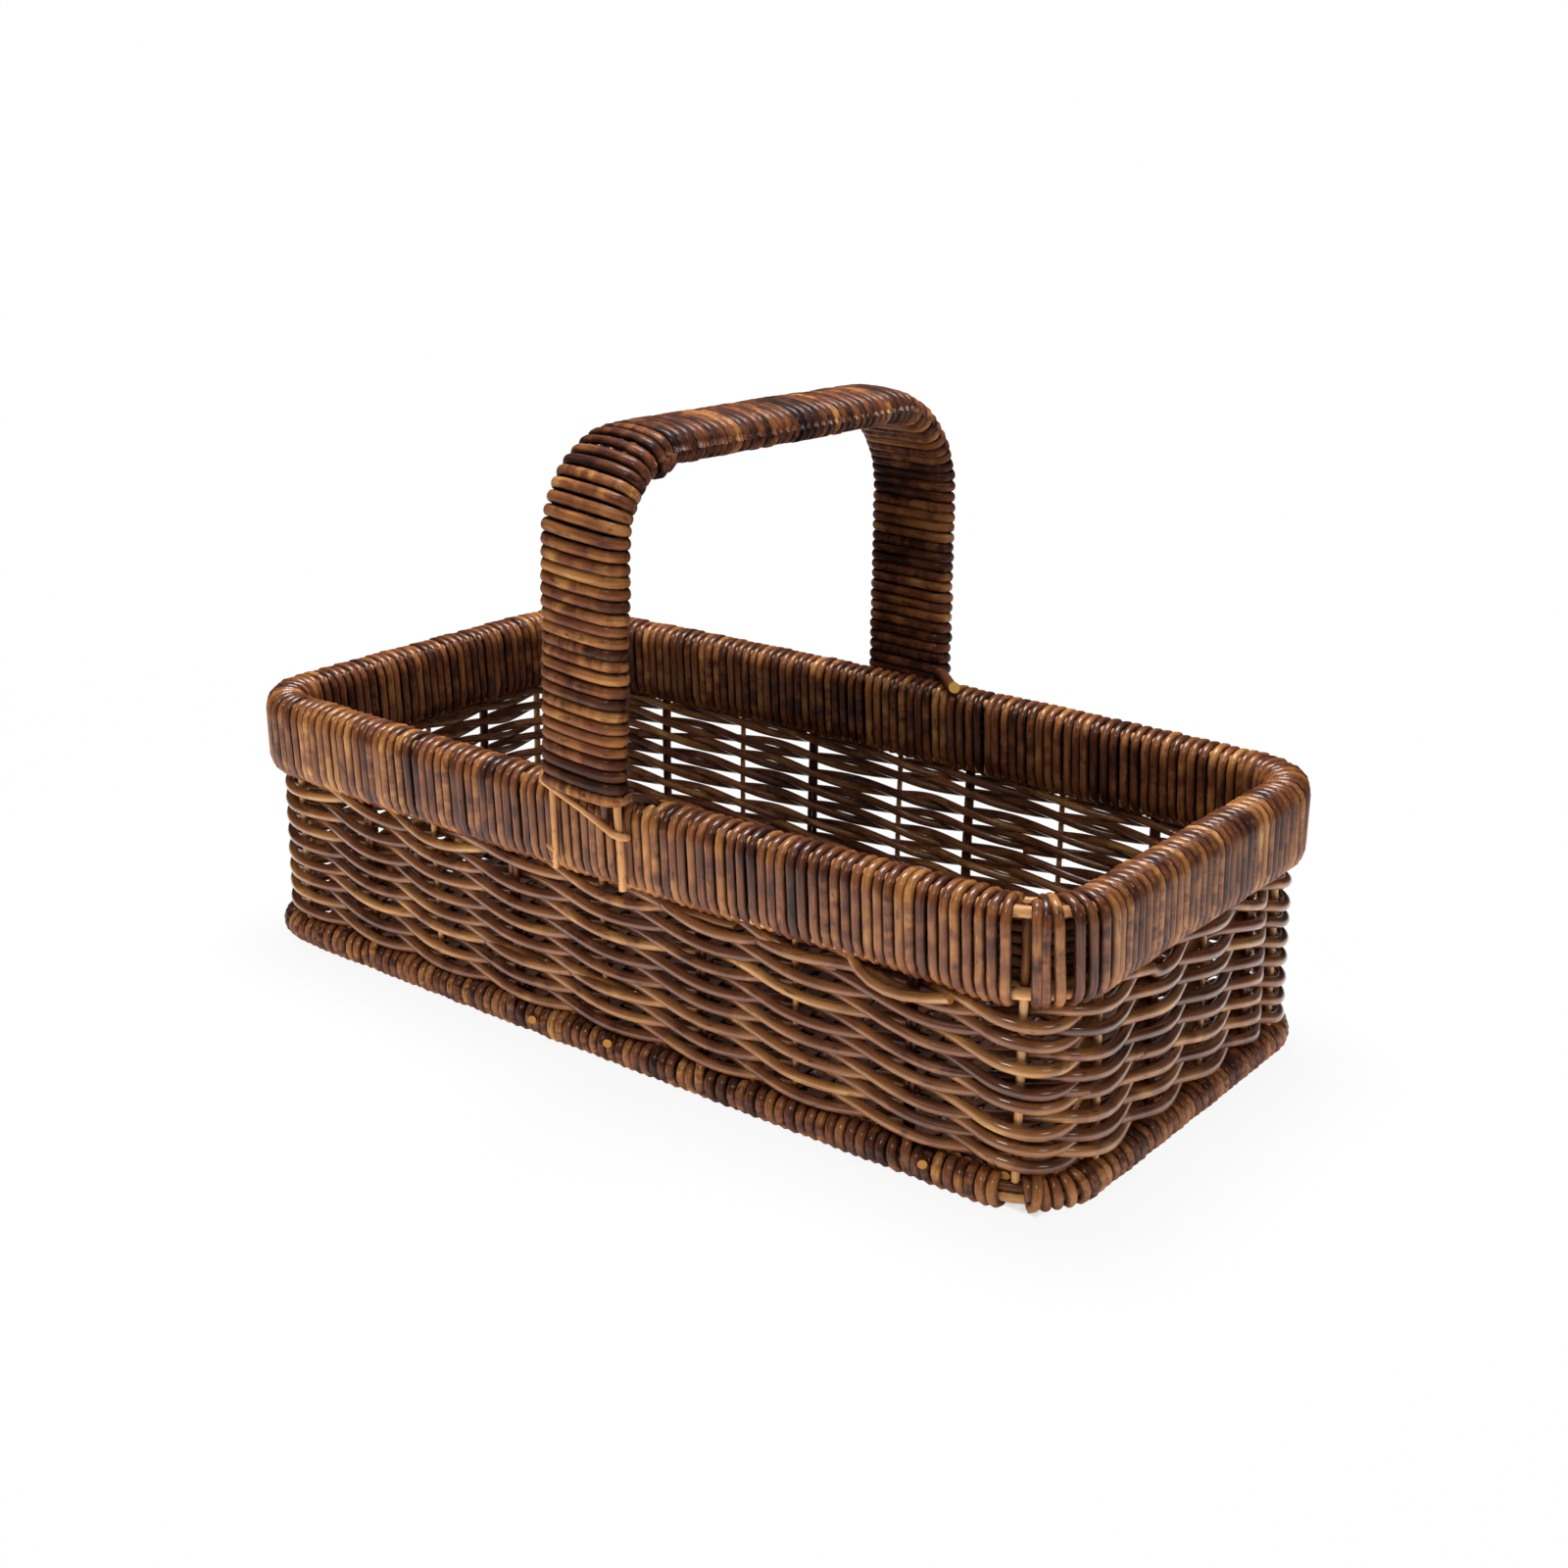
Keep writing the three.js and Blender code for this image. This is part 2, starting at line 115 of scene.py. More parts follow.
def floor_finish():
    """A pale board. Past the basket's foot the camera sees it white, and a pool of it lights the basket."""
    made = bpy.data.materials.new("pale_floor")
    made.use_nodes = True
    board = made.node_tree.nodes["Principled BSDF"]
    board.inputs["Base Color"].default_value = (0.8, 0.8, 0.8, 1)
    board.inputs["Roughness"].default_value = 0.9
    board.inputs["Specular IOR Level"].default_value = 0.1
    wire = Wire(made.node_tree)
    plain = Wire(made.node_tree, board.outputs[0])
    spot = wire.node("ShaderNodeTexCoord", output="Object")
    shifted = wire.node("ShaderNodeVectorMath", {"operation": "SUBTRACT"}, {0: spot, 1: LIT_MIDDLE})
    reach = wire.node("ShaderNodeVectorMath", {"operation": "LENGTH"}, {0: shifted}, "Value")
    pool = reach.change(LIT_FULL, LIT_END, 1.0, 0.0)
    sides = wire.node("ShaderNodeSeparateXYZ", inputs={0: spot})
    past_long = wire.math("ABSOLUTE", sides) - FOOT_HALF_LONG
    past_wide = wire.math("ABSOLUTE", sides.other(1)) - FOOT_HALF_WIDE
    past = wire.math("MAXIMUM", past_long, past_wide)
    clear = past.change(-FOOT_BLUR, FOOT_BLUR, kind="LINEAR")
    apart = past.change(0.0, LIT_START, kind="LINEAR")
    seen = wire.node("ShaderNodeLightPath", output="Is Camera Ray")
    gleam = 1 - seen.other("Is Glossy Ray") * (1 - GLINT_SHARE)
    white = wire.node("ShaderNodeEmission", inputs={"Color": (1, 1, 1, 1), "Strength": 1.0})
    bounce = wire.node("ShaderNodeEmission", inputs={"Color": (1, 0.98, 0.95, 1), "Strength": LIT_STRENGTH})
    shown = wire.node("ShaderNodeMixShader", inputs={0: clear * (1 - pool * SHADE_SHARE), 1: plain, 2: white})
    lit = wire.node("ShaderNodeMixShader", inputs={0: apart * pool * gleam, 1: plain, 2: bounce})
    mixed = wire.node("ShaderNodeMixShader", inputs={0: seen, 1: lit, 2: shown})
    made.node_tree.links.new(mixed.socket, made.node_tree.nodes["Material Output"].inputs["Surface"])
    return made


bpy.ops.object.select_all(action="DESELECT")
bpy.ops.mesh.primitive_plane_add(size=FLOOR_SIZE, location=(0, 0, FLOOR_LEVEL))
studio_floor = bpy.context.object
studio_floor.name = "studio_floor"
studio_floor.data.materials.append(floor_finish())

scene = bpy.context.scene
scene.view_settings.view_transform = "Standard"
scene.world = bpy.data.worlds.new("white_room")
scene.world.use_nodes = True
room = Wire(scene.world.node_tree)
room_seen = room.node("ShaderNodeLightPath", output="Is Camera Ray")
room_power = room_seen * (1 - ROOM_LIGHT) + ROOM_LIGHT
backdrop = scene.world.node_tree.nodes["Background"]
backdrop.inputs["Color"].default_value = (1, 1, 1, 1)
scene.world.node_tree.links.new(room_power.socket, backdrop.inputs["Strength"])

for name, place, size, power in LAMPS:
    lamp = bpy.data.objects.new(name, bpy.data.lights.new(name, "AREA"))
    lamp.data.size = size
    lamp.data.energy = power
    lamp.location = place
    lamp.rotation_euler = (-Vector(place)).to_track_quat("-Z", "Y").to_euler()
    scene.collection.objects.link(lamp)

camera = bpy.data.objects.new("camera", bpy.data.cameras.new("camera"))
camera.data.lens = CAMERA_LENS
camera.matrix_world = (
    Matrix.Translation(CAMERA_PLACE)
    @ Matrix.Rotation(math.radians(CAMERA_TURN), 4, "Z")
    @ Matrix.Rotation(math.radians(90 - CAMERA_DOWN), 4, "X")
    @ Matrix.Rotation(math.radians(CAMERA_ROLL), 4, "Z")
)
scene.collection.objects.link(camera)
scene.camera = camera

# Foot hoop: three canes bent together into an oblong with round corners and long sides that bow out. The
# stakes stand on them, and the pale outer one shows bare at the near right corner, the open corner, where
# the windings leave a gap. From here on lengths are in millimetres, and MM turns them into metres.
MM = 0.001
PLAN_LONG, PLAN_WIDE, CORNER = 382.2, 175.2, 22.0
RUN_LONG, RUN_WIDE, ROUND = PLAN_LONG - 2 * CORNER, PLAN_WIDE - 2 * CORNER, math.pi * CORNER / 2
LAP = 2 * (RUN_LONG + RUN_WIDE) + 4 * ROUND
OPEN_CORNER = 885.3
FOOT_MIDDLE, RIM_BOTTOM, RIM_TOP = 6.6, 73.5, 109.5
FOOT_BOW, RIM_BOW, FOOT_SPREAD = 1.2, 4.8, 2
HOOP_STOPS = 260
# Each cane: diameter, out, up and stain. The upper and inner canes get low stains as painted shade over and
# behind the pale outer one.
FOOT_CANES = (
    (3.8, 1.2, FOOT_MIDDLE - 1.7, 0.8),
    (3.6, 0.9, FOOT_MIDDLE + 1.9, -0.3),
    (3.6, -2.0, FOOT_MIDDLE, 0.1),
)
PALE_TONES = ((0.0, "2e1a0e"), (0.25, "7a4a28"), (0.5, "ab7042"), (0.75, "cf9560"), (1.0, "e0ae7a"))
CUT_TONES = ((0.0, "7a5028"), (0.5, "b8843f"), (1.0, "e2aa48"))


def plan_point(length, bow):
    """A point of the line that the stakes stand on, from the right end of the far side round by the left."""
    length %= LAP
    for side in range(4):
        run = RUN_WIDE if side % 2 else RUN_LONG
        heading = math.pi * (1 + side / 2)
        ahead = Vector((math.cos(heading), math.sin(heading)))
        out = Vector((ahead.y, -ahead.x))
        centre = Vector(((-1, -1, 1, 1)[side] * RUN_LONG / 2, (1, -1, -1, 1)[side] * RUN_WIDE / 2))
        if length < run:
            point = centre + out * CORNER - ahead * (run - length)
            break
        length -= run
        if length < ROUND:
            turn = length / CORNER
            point = centre + (out * math.cos(turn) + ahead * math.sin(turn)) * CORNER
            break
        length -= ROUND
    point.y *= 1 + 2 * bow / PLAN_WIDE * (1 - (2 * point.x / PLAN_LONG) ** 2)
    return point


def wall_place(length, out, z):
    """A place on the wall and the way out of the basket there. Towards the foot the wall spreads a little."""
    rise = min(max((z - FOOT_MIDDLE) / (RIM_BOTTOM - FOOT_MIDDLE), 0), 1)
    bow = FOOT_BOW + (RIM_BOW - FOOT_BOW) * rise
    here = plan_point(length, bow)
    ahead = (plan_point(length + 0.5, bow) - plan_point(length - 0.5, bow)).normalized()
    away = Vector((ahead.y, -ahead.x, 0))
    return Vector((here.x, here.y, z)) + away * (out + FOOT_SPREAD * (1 - rise)), away


def stained_cane(name, tones, edge, shine):
    """Lacquered cane: stain that drifts along it, grain, dark specks, and painted shade towards its sides,
    where canes meet.
    """
    made = bpy.data.materials.new(name)
    made.use_nodes = True
    skin = made.node_tree.nodes["Principled BSDF"]
    wire = Wire(made.node_tree)
    place = wire.node("ShaderNodeSeparateXYZ", inputs={0: wire.node("ShaderNodeUVMap", {"uv_map": "strand"})})
    along, round_it = place, place.other(1)
    stain = wire.node("ShaderNodeAttribute", {"attribute_name": "stain"}, output="Fac")

    def pattern(lengthwise, around, shift, detail=2.0):
        """Noise with so many waves to the metre along the cane and to a turn round it."""
        spots = {0: along * lengthwise, 1: round_it * around, 2: stain * 37 + shift}
        spot = wire.node("ShaderNodeCombineXYZ", inputs=spots)
        return wire.node("ShaderNodeTexNoise", inputs={"Vector": spot, "Scale": 1.0, "Detail": detail})

    drift = pattern(22, 0.5, 0)
    patch = pattern(55, 1.2, 3, 1.0).change(0.46, 0.56)
    streak = pattern(60, 14, 5, 4.0)
    specks = pattern(160, 5, 11).change(0.60, 0.72, 1.0, 0.45)
    # Painted shade: the cane darkens away from its outer face, towards where it meets other canes, by the
    # share given as edge.
    edge_shade = wire.math("ABSOLUTE", round_it - 0.5).change(0.08, 0.24, 1.0, 1.0 - edge)
    tone = stain * 0.66 + (drift - 0.5) * 0.85 + (patch - 0.5) * 0.14 + (streak - 0.5) * 0.5 + 0.2
    colour = wire.node("ShaderNodeValToRGB", {"stops": [(p, paint(c)) for p, c in tones]}, {0: tone})
    specks_and_shade = edge_shade * specks
    specks_and_shade_grey = wire.node("ShaderNodeCombineColor", inputs={0: specks_and_shade, 1: specks_and_shade, 2: specks_and_shade})
    multiply = {"data_type": "RGBA", "blend_type": "MULTIPLY"}
    colour = wire.node("ShaderNodeMix", multiply, {0: 1.0, 6: colour, 7: specks_and_shade_grey}, output=2)
    made.node_tree.links.new(colour.socket, skin.inputs["Base Color"])
    made.node_tree.links.new((streak * 0.3 + (0.5 - shine * 0.35)).socket, skin.inputs["Roughness"])
    skin.inputs["Coat Weight"].default_value = shine
    skin.inputs["Coat Roughness"].default_value = 0.11
    skin.inputs["Coat IOR"].default_value = 1.6
    skin.inputs["Specular IOR Level"].default_value = 0.1 + 0.3 * shine
    bump = wire.node("ShaderNodeBump", inputs={"Height": streak, "Strength": 0.35, "Distance": 0.0004})
    made.node_tree.links.new(bump.socket, skin.inputs["Normal"])
    return made


pale_cane = stained_cane("pale_cane", PALE_TONES, edge=0.15, shine=0.15)
cut_cane = stained_cane("cut_cane", CUT_TONES, edge=0.0, shine=0.05)


def round_cane(diameter, sides=10):
    """The outline of a round cane, as places to the side and outward, from its inner side round."""
    turns = [2 * math.pi * i / sides for i in range(sides)]
    return [(diameter / 2 * math.sin(turn), -diameter / 2 * math.cos(turn)) for turn in turns]


class Bundle:
    """Canes gathered into one mesh, each with its place along the cane and its own depth of stain, which in
    places also holds painted shade.
    """

    def __init__(self):
        self.points, self.faces, self.grain, self.ends, self.stains_and_shade = [], [], [], [], []

    def lay(self, middles, outs, section, stain, closed=False, girths=None):
        """One cane along the middles, whose outer side faces outs. Sections run from the inner side round."""
        first, count, sides = len(self.points), len(middles), len(section)
        along = [0.0]
        for k, middle in enumerate(middles):
            before = middles[k - 1] if k or closed else middle
            after = middles[(k + 1) % count] if k < count - 1 or closed else middle
            ahead = (after - before).normalized()
            out = (outs[k] - ahead * outs[k].dot(ahead)).normalized()
            side = ahead.cross(out)
            girth = girths[k] if girths else 1
            self.points += [middle + (side * s + out * o) * girth for s, o in section]
            self.stains_and_shade += [stain[k] if isinstance(stain, list) else stain] * sides
            along.append(along[-1] + (middles[(k + 1) % count] - middle).length * MM)
        for k in range(count if closed else count - 1):
            here, there = first + k * sides, first + (k + 1) % count * sides
            for i in range(sides):
                j = (i + 1) % sides
                self.faces.append((here + i, there + i, there + j, here + j))
                low, high = i / sides, (i + 1) / sides
                self.grain += [(along[k], low), (along[k + 1], low), (along[k + 1], high), (along[k], high)]
        if not closed:
            last = first + (count - 1) * sides
            for ring in (range(first, first + sides), range(last + sides - 1, last - 1, -1)):
                self.ends.append(len(self.faces))
                self.faces.append(tuple(ring))
                self.grain += [(0.5, 0.5)] * sides

    def piece(self, name, finish, slot, *nodes):
        """The finished piece, in place of these nodes of the solids. The ends of its canes are cut faces."""
        mesh = bpy.data.meshes.new(name)
        mesh.from_pydata([p * MM for p in self.points], [], self.faces)
        mesh.polygons.foreach_set("use_smooth", [True] * len(self.faces))
        for end in self.ends:
            mesh.polygons[end].material_index = 1
            mesh.polygons[end].use_smooth = False
        mesh.materials.append(finish)
        mesh.materials.append(cut_cane)
        strand = mesh.uv_layers.new(name="strand")
        strand.data.foreach_set("uv", [value for pair in self.grain for value in pair])
        stain = mesh.attributes.new("stain", "FLOAT", "POINT")
        stain.data.foreach_set("value", self.stains_and_shade)
        made = bpy.data.objects.new(name, mesh)
        scene.collection.objects.link(made)
        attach(made, "root")
        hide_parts(*nodes)


def hoop(name, canes):
    """A ring of canes round the plan, each given by its diameter, its place out and up, and its stain, with
    any painted shade.
    """
    ring = Bundle()
    for diameter, out, z, stain in canes:
        places = [wall_place(LAP * i / HOOP_STOPS, out, z) for i in range(HOOP_STOPS)]
        middles, outs = [place for place, _ in places], [away for _, away in places]
        ring.lay(middles, outs, round_cane(diameter), stain, closed=True)
    ring.piece(name, pale_cane, "pale_cane", name)


hoop("foot_hoop", FOOT_CANES)

# Stakes: 28 thin upright canes on the foot hoop. The ends of each side and every second place between
# have one pale cane, and the places between those have two dark ones side by side.
STAKE, CORNER_STAKE, PAIR_SHIFT = 2.3, 3.1, 1.15
STAKE_BOTTOM, STAKE_STEP, STAKE_STOPS = 8.5, 5.5, 19
BAYS_LONG, BAYS_WIDE, INSET = 8, 4, 3.0
STAKES = 2 * (BAYS_LONG + BAYS_WIDE + 2)
SLIPS = {
    3: 2.3, 4: -5.1, 5: -1.1, 6: -4.1, 7: -1.9, 14: 1.9, 15: 1.6, 16: -1.3, 18: 2.7, 19: 6.1, 20: 5.0,
    21: 9.6, 22: 6.4, 23: 7.1, 24: 9.8, 25: 11.0, 26: 11.5, 27: -2.3,
}
DARK_TONES = ((0.0, "1c0b07"), (0.3, "422216"), (0.55, "6f3f29"), (0.8, "985d39"), (1.0, "bb7e4a"))
dark_cane = stained_cane("dark_cane", DARK_TONES, edge=0.3, shine=0.3)
chance = random.Random(11)


def waver(size, *place):
    """A smooth, uneven shift of at most about this size, which is always the same at one place."""
    return size * noise.noise(Vector(place))


def even_length(count):
    """Where a stake would stand if the bays of a side were all alike. Halves fall between two stakes."""
    rest, start = count % STAKES, 0.0
    for side in range(4):
        run, bays = (RUN_WIDE, BAYS_WIDE) if side % 2 else (RUN_LONG, BAYS_LONG)
        if rest <= bays:
            return start - INSET + (run + 2 * INSET) * rest / bays
        rest -= bays
        if rest < 1:
            return start + run + INSET + (ROUND - 2 * INSET) * rest
        rest -= 1
        start += run + ROUND
    return -INSET


def stake_length(count):
    """How far round the plan a stake stands. Most have slipped a little from an even spacing."""
    before = math.floor(count)
    share = count - before
    slip, next_slip = SLIPS.get(before % STAKES, 0), SLIPS.get((before + 1) % STAKES, 0)
    return even_length(count) + slip * (1 - share) + next_slip * share


single_stakes, paired_stakes = Bundle(), Bundle()
single_nodes, paired_nodes = [], []
for count in range(STAKES):
    half = count % (STAKES // 2)
    at_corner = half in (0, BAYS_LONG, BAYS_LONG + 1, STAKES // 2 - 1)
    paired = (half - BAYS_LONG - 1 if half > BAYS_LONG else half) % 2 == 1
    for shift in (-PAIR_SHIFT, PAIR_SHIFT) if paired else (0,):
        middles, outs = [], []
        for k in range(STAKE_STOPS):
            z = STAKE_BOTTOM + STAKE_STEP * k
            sway = waver(0.5, count * 3.1 + shift, z * 0.03, 2)
            middle, away = wall_place(stake_length(count) + shift + sway, 0, z)
            middles.append(middle)
            outs.append(away)
        stain = 1.0 if at_corner else chance.uniform(0.3, 0.8) if paired else chance.uniform(0.6, 0.95)
        # Painted shade: inside the rim band, from just above its bottom, every stake gets the lowest stain.
        stains_and_shade = [stain if middle.z < RIM_BOTTOM + 2 else 0.0 for middle in middles]
        stakes = paired_stakes if paired else single_stakes
        stakes.lay(middles, outs, round_cane(CORNER_STAKE if at_corner else STAKE), stains_and_shade)
    (paired_nodes if paired else single_nodes).append(f"stake_{count + 1:02d}")
single_stakes.piece("single_stakes", pale_cane, "pale_cane", *single_nodes)
paired_stakes.piece("paired_stakes", dark_cane, "dark_cane", *paired_nodes)

# Floor: rods along the basket, and over them flat split cane woven across thin ribs, all inside the foot.
# The photograph doesn't show it, so it has the plain over-and-under weave that such baskets have.
FLOOR_EDGE = FOOT_SPREAD - 6.1
ROD, RODS, ROD_LEVEL, ROD_STOPS = 3.4, 4, 4.2, 31
MAT_LEVEL, MAT_WAVE = 8.45, 1.5
RIB, RIBS, RIBS_WIDE, RIB_STOPS = 2.0, 13, 160, 13
RIB_REACH, OUTER_RIB_REACH, OUTER_RIB_FROM = 186, 182, 70
SPLITS, SPLIT_PITCH, SPLIT_STOPS = 66, 5.65, 65
SPLIT_OUTLINE = ((-2.75, -0.5), (2.75, -0.5), (2.75, 0.3), (1.6, 0.6), (-1.6, 0.6), (-2.75, 0.3))
UP, DOWN = Vector((0, 0, 1)), Vector((0, 0, -1))
# Painted shade: the floor cane is coloured near black and weakly stained, standing in for the shade inside
# the basket.
FLOOR_SHADE_TONES = ((0.0, "160a06"), (0.5, "3a2015"), (1.0, "6a4430"))
floor_shade_cane = stained_cane("floor_shade_cane", FLOOR_SHADE_TONES, edge=0.0, shine=0.0)


def floor_reach(x):
    """How far the floor goes across at one place along its length."""
    radius = CORNER + FLOOR_EDGE
    past = max(abs(x) - RUN_LONG / 2, 0)
    bow = 1 + 2 * FOOT_BOW / PLAN_WIDE * (1 - (2 * x / PLAN_LONG) ** 2)
    return (RUN_WIDE / 2 + math.sqrt(max(radius**2 - past**2, 0))) * bow - 0.4


for i in range(RODS):
    y = (PLAN_WIDE + 2 * (FOOT_BOW + FLOOR_EDGE)) * ((i + 0.5) / RODS - 0.5)
    tuck = max(0, abs(y) - RUN_WIDE / 2) * 0.8
    reach = PLAN_LONG / 2 + FLOOR_EDGE - tuck
    middles = []
    for k in range(ROD_STOPS):
        x = -reach + 2 * reach * k / (ROD_STOPS - 1)
        middles.append(Vector((x, y + waver(0.8, k * 0.3, i, 0), ROD_LEVEL)))
    rod = Bundle()
    rod.lay(middles, [DOWN] * ROD_STOPS, round_cane(ROD), 0.3 + 0.1 * i)
    rod.piece(f"floor_rod_{i + 1}", dark_cane, "dark_cane", f"floor_rod_{i + 1}")

floor_mat = Bundle()
for i in range(RIBS):
    y = RIBS_WIDE * (i / (RIBS - 1) - 0.5)
    reach = RIB_REACH if abs(y) < OUTER_RIB_FROM else OUTER_RIB_REACH
    middles = [Vector((-reach + 2 * reach * k / (RIB_STOPS - 1), y, MAT_LEVEL)) for k in range(RIB_STOPS)]
    floor_mat.lay(middles, [UP] * RIB_STOPS, round_cane(RIB, 8), chance.uniform(0.0, 0.3))
for i in range(SPLITS):
    x = (i - (SPLITS - 1) / 2) * SPLIT_PITCH
    reach = floor_reach(x)
    middles = []
    for k in range(SPLIT_STOPS):
        y = -reach + 2 * reach * k / (SPLIT_STOPS - 1)
        wave = math.cos(math.pi * y / (RIBS_WIDE / (RIBS - 1))) * (1 if i % 2 else -1)
        middles.append(Vector((x, y, MAT_LEVEL + MAT_WAVE * wave)))
    floor_mat.lay(middles, [UP] * SPLIT_STOPS, SPLIT_OUTLINE, chance.uniform(0.0, 0.3))
floor_mat.piece("floor_mat", floor_shade_cane, "dark_cane", "floor_mat")

# Wall: eight rows of paired weavers. Two round canes pass on either side of each stake and cross between
# stakes, one over the other. Each is one length whose pale cut ends overlap behind a stake, and the top
# row has a short rod spliced in, which shows under the rim band on the near side.
WALL_BOTTOM, WALL_TALL = 13.6, 60
CORNER_HEIGHTS = (18.6, 24.2, 30.8, 39.8, 44.7, 52.9, 60.7, 67.1)
ROWS = len(CORNER_HEIGHTS)
WEAVER, STOPS_A_BAY = 3.7, 14
GIRTH, NEAR_SIDE_GIRTH, RIGHT_SIDE_GIRTH = 0.97, 0.11, 0.12
STAKE_ROOM, PASS_GAP, PASS_RISE, CROSS_RISE = 2.2, 0.2, 1.0, 1.88
PASS_OUT = STAKE_ROOM / 2 + PASS_GAP + WEAVER / 2
OVERLAP, TUCK, TUCK_INWARD, TUCK_DIP = 0.7, 0.3, 3.2, 0.8
FAR_SIDE_END, NEAR_SIDE_START, RIGHT_SIDE_START = 540, 500, 870
CORNER_REACH, FAR_SIDE_RISE = 50, 0.26
TOP_ROW_RISE, TOP_ROW_DROP, TOP_ROW_SLACK, SLACK_FROM = 1.5, 0.9, 1.6, 60
SPLICED = (
    (110.0, -88.5, 74.0), (116.0, -92.5, 73.4), (121.5, -96.0, 71.4),
    (127.0, -97.2, 69.4), (133.0, -97.4, 68.2), (140.0, -97.2, 68.2),
    (148.0, -96.6, 69.5), (157.0, -95.9, 71.8), (157.3, -95.9, 71.9),
)
SPLICED_STAINS = [0.8] * (len(SPLICED) - 1) + [0.45]
WALL_TONES = ((0.0, "1e0b06"), (0.25, "4e2716"), (0.5, "784627"), (0.75, "9d6838"), (1.0, "c8924f"))
wall_cane = stained_cane("wall_cane", WALL_TONES, edge=0.1, shine=0.85)


def from_open_corner(length):
    """How far a place round the plan is from the open corner, by the shorter way."""
    return abs((length - OPEN_CORNER + LAP / 2) % LAP - LAP / 2)


def share_of(length, start, end, fade_in, fade_out):
    """How far a place belongs to a stretch of the plan: 1 inside it, fading to 0 at its two ends."""
    place = length % LAP
    return max(min((place - start) / fade_in, 1, (end - place) / fade_out), 0)


def row_height(row, way, count, length):
    """How high a weaver runs, a bit unevenly. Near the open corner each row keeps to its height there."""
    even = WALL_BOTTOM + WALL_TALL * (row + 0.5) / ROWS
    near = from_open_corner(length)
    z = even + (CORNER_HEIGHTS[row] - even) * math.exp(-((near / CORNER_REACH) ** 2))
    z += FAR_SIDE_RISE * row * share_of(length, 0, FAR_SIDE_END, 40, 40)
    z += waver(1.1, count * 0.4, row * 7.3, 1)
    z += waver(0.5, count * 0.9, row * 3.3 + way, 5)
    if row == ROWS - 1:
        near_side = share_of(length, NEAR_SIDE_START, LAP, 40, 40)
        slack = TOP_ROW_SLACK * math.sin(math.pi * count * 0.9) * (near > SLACK_FROM)
        z += TOP_ROW_RISE * near_side - TOP_ROW_DROP + slack * near_side
    return z


def weaver_stop(row, way, start, count):
    """The middle, way out and girth of a weaver at one stop. Its start dips, and its end tucks inward."""
    phase = math.pi * count
    length = stake_length(count)
    out = way * PASS_OUT * math.cos(phase) * (1 + waver(0.08, count * 0.7, row, way))
    rise = -way * (CROSS_RISE * math.sin(phase) + PASS_RISE * math.cos(phase))
    at_end = max(0.0, count - start - STAKES + TUCK) / (TUCK + OVERLAP / 2)
    at_start = max(0.0, start + TUCK - count) / (TUCK + OVERLAP / 2)
    z = row_height(row, way, count, length) + rise - TUCK_DIP * min(at_start * 2, 1)
    middle, away = wall_place(length, out - TUCK_INWARD * min(at_end * 2, 1), z)
    near_side = share_of(length, NEAR_SIDE_START, LAP, 40, 40)
    right_side = share_of(length, RIGHT_SIDE_START, LAP, 20, 30)
    girth = GIRTH + NEAR_SIDE_GIRTH * near_side + RIGHT_SIDE_GIRTH * right_side
    return middle, away, girth + waver(0.1, count * 0.25, row * 5.5, way * 2)


for row in range(ROWS):
    weavers = Bundle()
    for way in (1, -1):
        start = (5 + 6 * row) % STAKES + (0 if way < 0 else 1)
        base = chance.uniform(0.3, 0.75)
        middles, outs, girths, stains_and_shade = [], [], [], []
        steps = int((STAKES + OVERLAP) * STOPS_A_BAY)
        for k in range(steps + 1):
            count = start - OVERLAP / 2 + (STAKES + OVERLAP) * k / steps
            middle, away, girth = weaver_stop(row, way, start, count)
            middles.append(middle)
            outs.append(away)
            girths.append(girth)
            stains_and_shade.append(base + waver(0.25, count * 0.35, row * 2.1, way))
        weavers.lay(middles, outs, round_cane(WEAVER), stains_and_shade, girths=girths)
    if row == ROWS - 1:
        spots = [Vector(p) for p in SPLICED]
        weavers.lay(spots, [Vector((0, -1, 0))] * len(spots), round_cane(WEAVER), SPLICED_STAINS)
    weavers.piece(f"weaver_row_{row + 1}", wall_cane, "dark_cane", f"weaver_row_{row + 1}")

# Rim hoops: four pale canes that hold the tops of the stakes, two outside and two inside, at the upper and
# lower edge of the band. They show where the winding leaves the near right corner open. Six canes fill the
# back of the band between the two inner ones, with the lowest stain as painted shade in the gaps between
# turns.
UPPER_CANE, LOWER_CANE, HOOP_OUT = 4.0, 4.2, 3.6
UPPER_LEVEL, LOWER_LEVEL, HOOP_STAIN = 105.4, 77.7, 0.9
# The packing canes take a stain below the darkest tone, painted shade behind the band.
PACKING, PACKING_CANES, PACKING_STEP, PACKING_SHADE = 3.9, 6, 3.957, -0.3
packing = []
for k in range(1, PACKING_CANES + 1):
    packing.append((PACKING, -HOOP_OUT, UPPER_LEVEL - PACKING_STEP * k, PACKING_SHADE))
hoop("rim_top_outer_hoop", [(UPPER_CANE, HOOP_OUT, UPPER_LEVEL, HOOP_STAIN)])
hoop("rim_top_inner_hoop", [(UPPER_CANE, -HOOP_OUT, UPPER_LEVEL, HOOP_STAIN)] + packing)
hoop("rim_lower_outer_hoop", [(LOWER_CANE, HOOP_OUT, LOWER_LEVEL, HOOP_STAIN)])
hoop("rim_lower_inner_hoop", [(LOWER_CANE, -HOOP_OUT, LOWER_LEVEL, HOOP_STAIN)])

